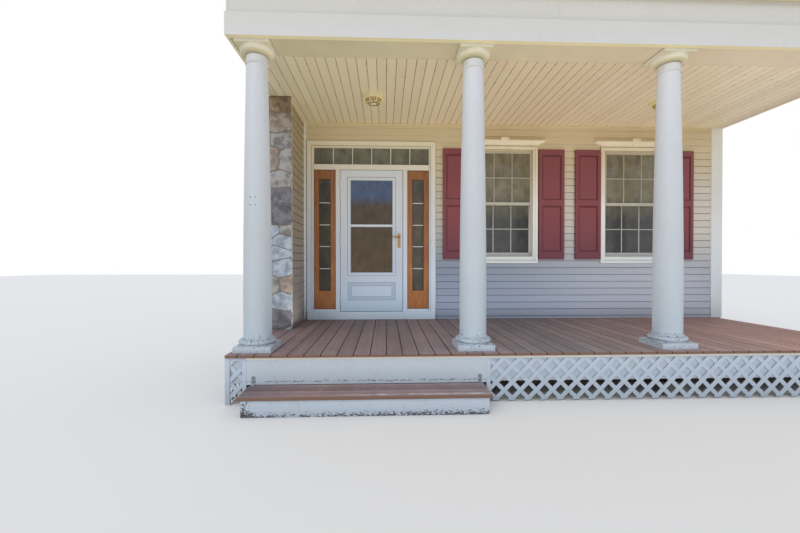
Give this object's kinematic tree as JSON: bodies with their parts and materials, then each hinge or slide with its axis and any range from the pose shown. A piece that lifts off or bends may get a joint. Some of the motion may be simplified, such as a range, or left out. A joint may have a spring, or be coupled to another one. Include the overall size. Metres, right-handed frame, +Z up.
{
  "type": "front porch",
  "caption": "Covered house-front porch with round columns, board ceiling, lattice skirt and low step, against a wall with a glazed storm door, sidelights and shuttered windows",
  "frame": {"origin": "middle of the footprint, on the ground", "axes": "+X runs to the right along the house front as seen from outside, +Y runs from the step into the house, +Z is up"},
  "size_m": [6.487, 2.654, 4.37],
  "materials": {
    "concrete": "rough",
    "siding": "satin",
    "stone": "rough",
    "trim": "painted, weathered",
    "decking": "matt",
    "white_boards": "painted, weathered",
    "timber": "rough sawn",
    "lattice": "satin",
    "steel": "galvanised",
    "column": "painted, worn at the foot",
    "ceiling": "satin",
    "fascia": "matt",
    "shingles": "granular",
    "lantern_metal": "satin",
    "lantern_glass": "frosted",
    "sidelight_wood": "varnished",
    "glass": "clear",
    "storm_paint": "satin",
    "brass": "satin",
    "entry_wood": "varnished",
    "window_vinyl": "satin",
    "shutter_paint": "satin",
    "doorbell": "gloss"
  },
  "bodies": {
    "porch": {"foundation": "concrete", "pier_footings": "concrete", "wall_door_piers": "siding", "wall_window_piers": "siding", "wall_apron": "siding", "wall_header": "siding", "house_corner_wall": "siding", "stone_veneer": "stone", "corner_boards": "trim", "deck_floor": "decking", "step_treads": "decking", "rim_joists": "white_boards", "floor_joists": "timber", "pier_posts": "timber", "lattice_left": "lattice", "lattice_front": "lattice", "lattice_left_end": "lattice", "lattice_right_end": "lattice", "step_upper_riser": "white_boards", "step_frame": "white_boards", "step_straps": "steel", "column_1": "column", "column_2": "column", "column_3": "column", "column_4": "column", "front_beam": "ceiling", "end_beams": "ceiling", "ceiling": "ceiling", "fascia_lower": "fascia", "fascia_upper": "fascia", "roof": "shingles", "roof_cheeks": "fascia", "lanterns": "lantern_metal", "lantern_glass": "lantern_glass", "door_posts": "trim", "door_bars": "trim", "door_casing": "trim", "door_sill": "trim", "sidelights": "sidelight_wood", "door_unit_glass": "glass", "door_hinge_plates": "steel", "window_frames": "window_vinyl", "window_sashes": "window_vinyl", "window_glass": "glass", "crossheads": "trim", "shutters": "shutter_paint", "doorbell": "doorbell"},
    "storm_door_leaf": {"storm_door": "storm_paint", "storm_glass": "glass", "storm_handle": "brass", "storm_hinge_leaves": "steel"},
    "entry_door_leaf": {"entry_door": "entry_wood", "entry_knob": "brass", "entry_hinge_leaves": "steel"}
  },
  "joints": [
    {"name": "storm_door_hinge", "type": "hinge", "parent": "porch", "child": "storm_door_leaf", "pos_m": [-2.476, 1.071, 1.6], "axis": [0, 0, -1], "range_deg": [0, 100]},
    {"name": "entry_door_hinge", "type": "hinge", "parent": "porch", "child": "entry_door_leaf", "pos_m": [-2.476, 1.275, 1.6], "axis": [0, 0, 1], "range_deg": [0, 95]}
  ]
}
